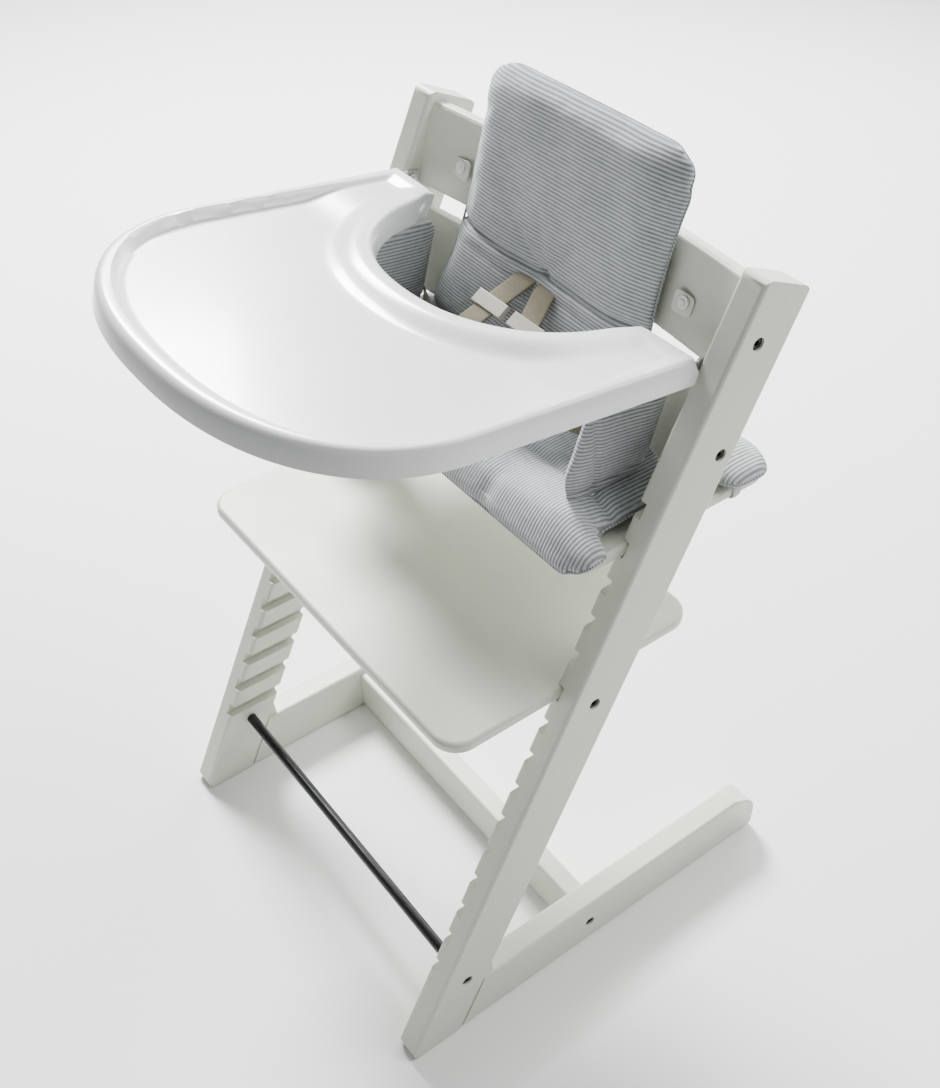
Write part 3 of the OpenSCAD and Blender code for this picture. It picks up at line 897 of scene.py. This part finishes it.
@dataclass
class Tray:
    """The moulded tray: rim, sunk play surface, sill round the child and hollow underside."""

    rear_z: float = 701.0
    tilt: float = math.radians(6.8)
    half: float = 211.0
    length: float = 376.0
    bow_y: float = -220.0
    arm_in: float = 130.0
    open_depth: float = 130.0
    height: float = 21.0
    floor: float = 11.2
    wall: float = 2.6
    slopes: tuple = ((14.5, 22.5), (17, 43), (13, 28))
    edge_radii: tuple = (9.5, 11.0, 6.0)
    arm_slope: tuple = (62, 125)
    arm_lift: float = 5.6
    straight: float = 0.235
    arm_start: float = -4.0
    inner_corner: float = 16.0
    outer_corner: float = 6.0
    rib_x: float = 166.0
    boss_x: float = 191.0
    boss_ys: tuple = (-20.0, -85.0)
    stations: int = 170
    lanes: int = 46

    def __post_init__(self) -> None:
        """Finds the rear ends of the arms in the row frame."""
        self.rear_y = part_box("tray_shell")[0].y / MM + self.length * math.cos(self.tilt)

    def row_point(self, x: float, y: float, z: float) -> Vector:
        """Turns a place in the flat tray's millimetres into the row frame."""
        drop, turn = math.cos(self.tilt), math.sin(self.tilt)
        return Vector((x, self.rear_y + y * drop + z * turn,
                       self.rear_z - y * turn + z * drop)) * MM

    @staticmethod
    def bow(half: float, depth: float, start: float, power: float,
            turn: float) -> tuple[float, float]:
        """Gives a place on a rounded front for a fraction from the right end to the left one.

        Args:
            half: half of the width.
            depth: how far the front reaches.
            start: where the straight sides end.
            power: 2 for an ellipse, more for a squarer front.
            turn: the fraction.

        Returns:
            The place, as x and y in millimetres.
        """
        angle = math.pi * turn
        c, s = math.cos(angle), math.sin(angle)
        return (math.copysign(half * abs(c) ** (2 / power), c),
                start - depth * abs(s) ** (2 / power))

    def outer(self, t: float) -> tuple[float, float]:
        """Gives a place on the outer edge.

        Args:
            t: the fraction of the way round the tray.

        Returns:
            The place, as x and y in millimetres.
        """
        if t < self.straight:
            return self.half, self.bow_y * t / self.straight
        if t > 1 - self.straight:
            return -self.half, self.bow_y * (1 - t) / self.straight
        return self.bow(self.half, self.length + self.bow_y, self.bow_y, 2.3,
                        (t - self.straight) / (1 - 2 * self.straight))

    def inner(self, t: float) -> tuple[float, float]:
        """Gives a place on the edge of the child's opening.

        Args:
            t: the fraction of the way round the tray.

        Returns:
            The place, as x and y in millimetres.
        """
        x, y = self.bow(self.arm_in, self.open_depth, self.arm_start, 2.2, t)
        flare = 7 * valley(y - self.arm_start, 16)
        return x + math.copysign(flare, x), y if abs(y - self.arm_start) > 1e-6 else 0.0

    def crest(self, outer_gap: float, inner_gap: float, end_gap: float) -> float:
        """Gives the height of the top skin, in millimetres.

        Args:
            outer_gap: the distance to the outer edge.
            inner_gap: the distance to the child's opening.
            end_gap: the distance to the end of the arm.

        Returns:
            The height over the tray's lower edge.
        """
        def fall(gap: float, crest_at: float, foot_at: float) -> float:
            """Gives 1 on the crest, 0 at the foot of the slope and a smooth step between."""
            blend = min(max((gap - crest_at) / (foot_at - crest_at), 0.0), 1.0)
            return 0.5 + 0.5 * math.cos(math.pi * blend)

        gaps = (outer_gap, inner_gap, end_gap)
        rim = max(fall(gap, *slope) for gap, slope in zip(gaps, self.slopes))
        sunk = self.height - self.floor - self.arm_lift * fall(end_gap, *self.arm_slope)
        z = self.height - sunk * (1 - rim)
        for gap, radius in zip(gaps, self.edge_radii):
            if gap < radius:
                z *= math.sqrt(max(1 - (1 - gap / radius) ** 2.4, 0.0))
        return z

    def top(self, u: float, v: float) -> Point:
        """Gives a point of the top skin.

        Args:
            u: the fraction from the outer edge to the inner one.
            v: the fraction of the way round the tray.

        Returns:
            The point, in the row frame.
        """
        s = (0.5 - 0.5 * math.cos(math.pi * u)) * 0.55 + u * 0.45
        end = min(v, 1 - v)
        (ox, oy), (ix, iy) = self.outer(v), self.inner(v)
        x, y = ox + (ix - ox) * s, oy + (iy - oy) * s
        span = math.hypot(ix - ox, iy - oy)
        gap_out, gap_in = span * s, span * (1 - s)
        if end < 0.2:
            share = max(1 - end / 0.08, 0.0)
            y -= rounding(self.inner_corner, self.inner_corner - gap_in) * share
            y -= rounding(self.outer_corner, self.outer_corner - gap_out) * share
        z = self.crest(gap_out, gap_in, max(-y, 0.0))
        return self.row_point(x, y, z)

    def ribs(self) -> list[Piece]:
        """Makes the spring ribs and screw bosses under the arms."""
        parts = []
        for side in (-1, 1):
            x = side * self.rib_x
            parts.append(block("rib", (x - 2, -48, 2), (x + 2, -32, 16.4)))
            for y in self.boss_ys:
                deselect()
                bpy.ops.mesh.primitive_cylinder_add(vertices=24, radius=4.0, depth=6.4,
                                                    location=(side * self.boss_x, y, 11.3))
                parts.append(settle(named("boss")))
        for part in parts:
            finish_with(part, "BEVEL", width=0.4, segments=2, limit_method="ANGLE")
            reshape(part, lambda co: self.row_point(co.x, co.y, co.z))
        return parts

    def build(self) -> None:
        """Makes the tray and mounts it."""
        shell = grid("moulded_tray", self.lanes, self.stations, self.top)
        if sum(polygon.normal.z * polygon.area for polygon in shell.data.polygons) < 0:
            shell.data.flip_normals()
        finish_with(shell, "SOLIDIFY", thickness=self.wall * MM, offset=-1.0,
                    use_even_offset=False, use_quality_normals=True)
        tray = smooth(joined("moulded_tray", [shell] + self.ribs()), 50.0)
        mount(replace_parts(tray, "tray_shell"), "tray", "tray")


# ---------------------------------------------------------------- springs

@dataclass
class Springs:
    """Wire coils of the tray catches and the buckle."""

    wire: float = 0.35 * MM
    catch_length: float = 15.5 * MM

    def coil(self, name: str, low: Vector, high: Vector, axis: int, turns: int) -> Piece:
        """Winds wire inside a box.

        Args:
            name: the piece's name.
            low: the box's lowest corner.
            high: the box's highest corner.
            axis: the index of the coil's axis.
            turns: how many turns it has.

        Returns:
            The coil.
        """
        a, b = [i for i in range(3) if i != axis]
        radius = (high[a] - low[a]) / 2 - self.wire
        middle = (low + high) / 2
        steps = 18 * turns
        route = []
        for i in range(steps + 1):
            angle = 2 * math.pi * turns * i / steps
            point = middle.copy()
            rise = (high[axis] - low[axis] - 2 * self.wire) * i / steps
            point[axis] = low[axis] + self.wire + rise
            point[a] += radius * math.cos(angle)
            point[b] += radius * math.sin(angle)
            route.append(point)
        return tube(name, route, self.wire)

    def build(self) -> None:
        """Makes the springs and mounts them."""
        low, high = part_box("tray_catch_springs")
        length = self.catch_length
        right = self.coil("spring", Vector((high.x - length, low.y, low.z)), high, 0, 7)
        left = self.coil("spring", low, Vector((low.x + length, high.y, high.z)), 0, 7)
        pair = joined("catch_springs", [right, left])
        mount(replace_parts(pair, "tray_catch_springs"), "tray", "steel")
        low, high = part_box("buckle_spring")
        coil = self.coil("button_spring", low, high, 1, 2)
        mount(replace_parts(coil, "buckle_spring"), "frame", "steel")


# ---------------------------------------------------------------- cushions

@dataclass
class BackCushion:
    """Tall padded back with a cross seam, a harness slit and creases that run into it."""

    datum: tuple = (305.0, 566.0)
    low_w: float = 31.0
    thick: float = 17.0
    seam_w: float = 133.0
    corner: float = 30.0
    low_corner: float = 14.0
    width_rule: tuple = ((31.0, 150.0), (80.0, 148.0), (110.0, 139.0), (180.0, 134.0),
                         (300.0, 132.0))
    creases: tuple = ((0.95, 46.0), (-0.25, 60.0), (-1.35, 55.0))

    def __post_init__(self) -> None:
        """Reads the cushion's top from the frame."""
        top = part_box("back_cushion")[1].z
        self.high_w = (top / MM - self.datum[1]) / math.cos(BACK_LEAN) - 3.0
        self.shift = front_shift()

    def half_width(self, w: float) -> float:
        """Gives half of the cushion's width, in millimetres.

        Args:
            w: the height up the slope.

        Returns:
            The half width there.
        """
        rule = self.width_rule
        for (w0, a), (w1, b) in zip(rule, rule[1:]):
            if w <= w1:
                t = max((w - w0) / (w1 - w0), 0.0)
                return a + (b - a) * (3 * t * t - 2 * t ** 3)
        return rule[-1][1]

    def place(self, x: float, w: float, out: float) -> Vector:
        """Turns across, up-slope and outward millimetres into the row frame."""
        c, s = math.cos(BACK_LEAN), math.sin(BACK_LEAN)
        return Vector((x, self.datum[0] + self.shift + w * s - out * c,
                       self.datum[1] + w * c + out * s)) * MM

    def flat(self, co: Vector) -> tuple[float, float, float]:
        """Turns a place in the row frame into across, up-slope and outward millimetres."""
        c, s = math.cos(BACK_LEAN), math.sin(BACK_LEAN)
        y, z = co.y / MM - self.datum[0] - self.shift, co.z / MM - self.datum[1]
        return co.x / MM, y * s + z * c, z * s - y * c

    def pad(self) -> Piece:
        """Makes the plain pad that is then filled."""
        pad = unit_cube("back_cushion_pad", 24)

        def rule(co: Vector) -> Point:
            """Shapes the unit cube into the pad."""
            up = co.z + 0.5
            w = self.low_w + up * (self.high_w - self.low_w)
            half = self.half_width(w)
            half -= rounding(self.corner, w - (self.high_w - self.corner))
            half -= rounding(self.low_corner, self.low_w + self.low_corner - w)
            x = co.x * 2
            edge = max(abs(x) ** 6, abs(2 * up - 1) ** 14)
            out = co.y * -self.thick * (1 - 0.62 * edge)
            return self.place(x * half, w, out)

        return outward(reshape(pad, rule))

    def crease(self, co: Vector) -> Point:
        """Presses the seam, the slit and the creases into the front.

        Args:
            co: a place on the filled pad.

        Returns:
            Its new place.
        """
        x, w, out = self.flat(co)
        front = 1.0 if out > 0 else 0.25
        run = w - self.seam_w
        depth = 5.5 * valley(run - 0.02 * abs(x), 3.2)
        depth += 2.0 * valley(run + 15, 4.5) * valley(x, 110)
        depth += 4.5 * valley(x, 34) * valley(run, 26)
        for slope, length in self.creases:
            reach = max(0.0, 1 - max(run, 0.0) / length) if run > -2 else 0.0
            depth += 2.4 * valley(x - slope * run, 5.5) * reach
        for side in (-1, 1):
            depth += 2.2 * valley(run - 6, 9) * valley(x * side - 128, 16)
        ripple = 0.7 * math.sin(x * 0.045 + 1.3) * math.sin(w * 0.038 + 0.4)
        ripple += 0.45 * math.sin(x * 0.09 + w * 0.05)
        return self.place(x, w, out - front * depth + ripple)

    def edge_piping(self, pad: Piece) -> Piece:
        """Makes the narrow sewn edge that runs round the cushion."""
        route = []
        for i in range(160):
            angle = 2 * math.pi * i / 160
            c, s = math.cos(angle), math.sin(angle)
            up = 0.5 + 0.5 * math.copysign(abs(s) ** 0.32, s)
            w = self.low_w - 1 + up * (self.high_w - self.low_w + 2)
            half = self.half_width(w) + 3.0
            route.append(self.place(math.copysign(abs(c) ** 0.32, c) * half, w, -2.0))
        return tube("back_cushion_piping", hugging(pad, route, 0.2 * MM), 1.1 * MM,
                    closed=True)

    def build(self) -> None:
        """Makes the cushion and mounts it."""
        pad = Swell(cap=8 * MM, pressure=3.5).run(self.pad())
        reshape(pad, self.crease)
        smooth(pad)
        mount(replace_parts(pad, "back_cushion"), "frame", "back_cotton")
        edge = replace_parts(self.edge_piping(pad), "back_cushion")
        mount(edge, "frame", "cord_cotton")


@dataclass
class SeatCushion:
    """Puffy seat pad that rolls over the front of the seat plate."""

    wide: float = 225.0
    corner: float = 29.0
    cord_corner: float = 40.0
    thick: float = 20.5
    middle_z: float = 10.6
    roll_reach: float = 26.0
    roll_drop: float = 15.0

    def __post_init__(self) -> None:
        """Reads the pad's box from the frame."""
        low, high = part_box("seat_cushion")
        self.low = low / MM
        self.high = high / MM
        self.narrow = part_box("upright_right")[0].x / MM - 4.0
        upright = front_shift()
        self.notch = (235.0 + upright, 356.0 + upright)
        self.plate_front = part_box("seat_plate")[0].y / MM

    def half_width(self, y: float) -> float:
        """Gives half of the pad's width, in millimetres.

        Args:
            y: the depth, in the row frame.

        Returns:
            The half width there, less between the uprights.
        """
        def step(value: float) -> float:
            """Steps smoothly from 0 to 1."""
            value = min(max(value, 0.0), 1.0)
            return value * value * (3 - 2 * value)

        into = step((y - self.notch[0] + 10) / 12)
        out = step((y - self.notch[1] - 2) / 12)
        return self.wide - (self.wide - self.narrow) * (into - out)

    def pad(self) -> Piece:
        """Makes the plain pad that is then filled."""
        pad = unit_cube("seat_cushion_pad", 30)
        y0, y1 = self.low.y - 2, self.high.y + 1

        def rule(co: Vector) -> Point:
            """Shapes the unit cube into the pad."""
            depth = co.y + 0.5
            y = y0 + depth * (y1 - y0)
            half = self.half_width(y)
            for gap in (y - y0, y1 - y):
                half -= rounding(self.corner, self.corner - gap)
            x = co.x * 2
            edge = max(abs(x) ** 10, abs(2 * depth - 1) ** 12)
            thick = self.thick * (1 - 0.45 * edge)
            roll = max(0.0, 1 - (y - y0) / self.roll_reach)
            z = self.low.z + self.middle_z + co.z * thick - self.roll_drop * roll ** 2
            return Vector((x * half, y, z)) * MM

        return outward(reshape(pad, rule))

    def settle_on_plate(self, co: Vector) -> Point:
        """Keeps the pad's underside flat on the plate and puts seams and dimples in its top.

        Args:
            co: a place on the filled pad.

        Returns:
            Its new place.
        """
        x, y, z = co.x / MM, co.y / MM, co.z / MM
        front = y - self.low.y
        if z > self.low.z + 9:
            lift = min((z - self.low.z - 9) / 6, 1.0)
            z -= 3.4 * valley(front - 60 - 0.03 * abs(x), 5.0) * lift
            z -= 3.0 * valley(x, 26) * valley(front - 66, 26) * lift
            z += 1.1 * math.sin(x * 0.05) * math.sin(y * 0.045 + 0.8) * lift
            z += 5.5 * valley(abs(x) - 178, 46) * valley(front - 26, 24) * lift
            z -= 2.6 * valley(x - 96, 9) * valley(front - 4, 26)
            z -= 1.8 * valley(x + 60, 8) * valley(front - 4, 22)
        y += 2.5 * valley(x - 96, 9) * valley(front, 9)
        floor = self.low.z + 0.5 if y > self.plate_front - 2.0 else self.low.z - 13.0
        return Vector((x, y, max(z, floor))) * MM

    def piping(self, pad: Piece) -> Piece:
        """Makes the sewn cord round the pad's edge at half its height."""
        y0, y1 = self.low.y - 1.0, self.high.y + 2.0
        right = []
        for i in range(81):
            y = y0 + (y1 - y0) * (0.5 - 0.5 * math.cos(math.pi * i / 80))
            half = self.half_width(y) + 4.0
            for gap in (y - y0, y1 - y):
                half -= rounding(self.cord_corner, self.cord_corner - gap)
            roll = max(0.0, 1 - (y - y0) / 28.0)
            right.append(Vector((half, y, self.low.z + 9.0 - 17.0 * roll ** 2)) * MM)
        left = [Vector((-p.x, p.y, p.z)) for p in reversed(right)]
        route = hugging(pad, right + left[1:-1], 0.3 * MM)
        return tube("seat_cushion_piping", route, 1.25 * MM, closed=True)

    def build(self) -> None:
        """Makes the cushion, its loops and mounts them."""
        pad = Swell(cap=7 * MM, pressure=4.0).run(self.pad())
        reshape(pad, self.settle_on_plate)
        smooth(pad)
        mount(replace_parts(pad, "seat_cushion"), "seat", "seat_cotton")
        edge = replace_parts(self.piping(pad), "seat_cushion")
        mount(edge, "seat", "cord_cotton")
        self.loops()

    def loops(self) -> None:
        """Makes the two elastic loops that hold the pad to the plate's edge."""
        for side, name in ((1, "right"), (-1, "left")):
            low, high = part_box(f"cushion_loop_{name}")
            y = (low.y + high.y) / 2
            edge = high.x if side > 0 else -low.x
            inner = edge - 14 * MM
            route = [(inner, high.z - 0.0006), (edge - 0.004, high.z - 0.0006),
                     (edge - 0.0008, high.z - 0.005), (edge - 0.0008, low.z + 0.005),
                     (edge - 0.004, low.z + 0.0008), (inner, low.z + 0.0008)]
            loop = ribbon(f"elastic_loop_{name}", [(side * x, y, z) for x, z in route],
                          [(0, 1, 0)] * len(route), 9 * MM, 1.1 * MM, 40)
            mount(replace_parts(loop, f"cushion_loop_{name}"), "seat", "elastic")


@dataclass
class SideWings:
    """Padded wings beside the child, with a bound lower hem."""

    lean: float = 25.0
    front_cut: float = 24.0
    thick: float = 11.0

    def panel(self, name: str) -> Piece:
        """Makes one wing's plain pad, which is then filled.

        Args:
            name: the CAD node that gives its box.

        Returns:
            The pad.
        """
        low, high = (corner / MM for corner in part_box(name))
        pad = unit_cube(f"{name}_pad", 16)

        def rule(co: Vector) -> Point:
            """Shapes the unit cube into the wing."""
            up, back = co.z + 0.5, co.y + 0.5
            z = low.z + 1 + up * (high.z - low.z - 2)
            front = low.y + 2 + self.front_cut * max(up - 0.42, 0.0) / 0.58
            rear = high.y - self.lean + self.lean * up - 2
            round_off = max(abs(2 * up - 1) ** 8, abs(2 * back - 1) ** 8)
            shrink = 7.0 * abs(2 * up - 1) ** 8
            y = front + shrink + back * (rear - front - 2 * shrink)
            x = (low.x + high.x) / 2 + co.x * self.thick * (1 - 0.55 * round_off)
            return Vector((x, y, z)) * MM

        return outward(reshape(pad, rule))

    def build(self) -> None:
        """Makes both wings and mounts them."""
        for name in ("side_wing_right", "side_wing_left"):
            side = 1 if name.endswith("right") else -1
            low, high = (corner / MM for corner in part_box(name))
            pad = Swell(cap=4.5 * MM, pressure=4.0, voxel=4.5 * MM).run(self.panel(name))

            def crease(co: Vector) -> Point:
                """Presses the hem's seams in and bends the wing a little."""
                x, y, z = co.x / MM, co.y / MM, co.z / MM
                middle = (low.x + high.x) / 2
                thin = 0.55 * valley(z - low.z - 13, 2.4) + 0.3 * valley(y - low.y - 30, 3)
                bend = side * 3.0 * math.sin((y - low.y) * 0.035) * (z - low.z) / 92
                return Vector((middle + (x - middle) * (1 - thin) - bend, y, z)) * MM

            reshape(pad, crease)
            mount(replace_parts(pad, name), "frame", "wing_cotton")


# ---------------------------------------------------------------- harness

@dataclass
class Harness:
    """Shoulder, waist and crotch webbing."""

    width: float = 25 * MM
    thick: float = 1.5 * MM
    over_top: tuple = ((14, 387, 682), (14, 372, 682), (14, 352, 686), (14, 337, 688))
    slope: tuple = (0.06, 0.3, 0.55, 0.8, 0.98)
    bend: tuple = ((95, 262, 628), (52, 262, 628))
    waist: tuple = ((148, 306, 610), (120, 292, 614), (88, 274, 622), (60, 262, 627),
                    (42, 261, 628), (33, 263, 628), (31, 268, 628), (36, 271, 628))

    def __post_init__(self) -> None:
        """Works out the shift from the feet's front tips to the row frame."""
        self.shift = front_shift()

    def at(self, x: float, y: float, z: float) -> Vector:
        """Turns millimetres from the feet's front tips into the row frame."""
        return Vector((x, y + self.shift, z)) * MM

    def strap(self, name: str, node: str, route: Sequence[Point], sides: Sequence[Point],
              cells: int = 90) -> Piece:
        """Makes one strap with its own webbing finish.

        Args:
            name: the strap's name.
            node: the CAD node that it replaces.
            route: the places it passes, in millimetres from the front tips.
            sides: the direction across it at each place.
            cells: the number of cells along it.

        Returns:
            The strap, not yet mounted.
        """
        places = [self.at(*place) for place in route]
        length = sum((b - a).length for a, b in zip(places, places[1:]))
        piece = ribbon(name, places, sides, self.width, self.thick, cells)
        FINISH.made[name] = Webbing(name + "_web", length, self.width).build()
        FINISH.dress(piece, name)
        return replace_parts(piece, node)

    def build(self) -> None:
        """Makes every strap and mounts it."""
        flat = (1, 0, 0)
        for s, word in ((1, "right"), (-1, "left")):
            run = [(14 + 21 * t, 326 - 58 * t, 688 - 39.5 * t) for t in self.slope]
            route = [(s * x, y, z) for x, y, z in [*self.over_top, *run]]
            across = [flat] * (len(route) - 1) + [(1, s * 0.04, 0)]
            strap = self.strap(f"shoulder_web_{word}", f"shoulder_strap_{word}", route, across)
            mount(strap, "frame")
            route = [(s * x, y, z) for x, y, z in self.waist]
            waist = self.strap(f"waist_web_{word}", f"waist_strap_{word}", route,
                               [(0, 0, 1)] * len(route))
            mount(waist, None)
            start, end = (self.at(s * x, y, z) for x, y, z in self.bend)
            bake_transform(waist)
        low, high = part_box("crotch_strap")
        y = low.y / MM - self.shift + 0.8
        z0, z1 = low.z / MM, high.z / MM
        route = [(0, y, z) for z in (z0, z0 + 20, z1 - 20, z1)]
        crotch = self.strap("crotch_web", "crotch_strap", route, [flat] * 4, 40)
        mount(crotch, "frame")


# ---------------------------------------------------------------- stage

@dataclass
class Stage:
    """Pale floor, soft lights and the camera."""

    camera_at: tuple = (0.7835, -0.5566, 1.2994)
    azimuth: float = math.radians(53.1)
    elevation: float = math.radians(41.76)
    roll: float = math.radians(-0.15)
    lens: float = 43.46
    shift: tuple = (-0.0006, -0.0061)
    floor_size: float = 14.0
    world_strength: float = 0.27
    aim: tuple = (0, 0, 0.4)
    lights: tuple = (("key_light", (-2.3, 0.75, 2.5), 1.0, 400),
                     ("side_light", (1.2, 1.6, 2.4), 1.4, 70),
                     ("rear_light", (-1.2, 2.4, 1.5), 1.4, 55))

    def floor(self) -> None:
        """Lays a plain pale floor."""
        deselect()
        bpy.ops.mesh.primitive_plane_add(size=self.floor_size, location=(0, 0, -0.0004))
        floor = settle(named("stage_floor"))
        graph = Graph("stage_floor")
        graph.surface(Base_Color=(0.88, 0.88, 0.88), Roughness=0.75, Specular_IOR_Level=0.2)
        floor.data.materials.append(graph.material)

    def light(self, name: str, place: Point, size: float, power: float) -> None:
        """Hangs one square soft light that faces the chair.

        Args:
            name: the light's name.
            place: where it hangs.
            size: the side of its square.
            power: its power in watts.
        """
        data = bpy.data.lights.new(name, "AREA")
        data.size = size
        data.energy = power
        lamp = linked(bpy.data.objects.new(name, data))
        lamp.location = place
        facing = Vector(self.aim) - Vector(place)
        lamp.rotation_euler = facing.to_track_quat("-Z", "Y").to_euler()

    def camera(self) -> None:
        """Places the camera."""
        data = bpy.data.cameras.new("main_camera")
        data.lens = self.lens
        data.sensor_width = 36.0
        data.shift_x, data.shift_y = self.shift
        data.clip_start = 0.05
        camera = linked(bpy.data.objects.new("main_camera", data))
        az, el = self.azimuth, self.elevation
        back = Vector((math.sin(az) * math.cos(el), -math.cos(az) * math.cos(el), math.sin(el)))
        right = Vector((0, 0, 1)).cross(back).normalized()
        up = back.cross(right)
        c, s = math.cos(self.roll), math.sin(self.roll)
        columns = [c * right + s * up, -s * right + c * up, back]
        turn = Matrix([[columns[j][i] for j in range(3)] for i in range(3)]).to_4x4()
        camera.matrix_world = Matrix.Translation(self.camera_at) @ turn
        bpy.context.scene.camera = camera

    def build(self) -> None:
        """Sets the stage."""
        self.camera()
        self.floor()
        world = bpy.data.worlds.new("studio")
        world.use_nodes = True
        background = world.node_tree.nodes["Background"]
        background.inputs[0].default_value = (1.0, 1.0, 1.0, 1.0)
        background.inputs[1].default_value = self.world_strength
        bpy.context.scene.world = world
        for row in self.lights:
            self.light(*row)


def main() -> None:
    """Builds the chair's looks, one sub-assembly after another."""
    logging.basicConfig(level=logging.INFO, format="%(relativeCreated)7d ms %(message)s")
    Stage().build()
    for group in (RigidParts(), Tray(), Springs(), BackCushion(), SeatCushion(), SideWings(),
                  Harness()):
        LOG.info("building %s", type(group).__name__)
        group.build()


if __name__ == "__main__":
    main()
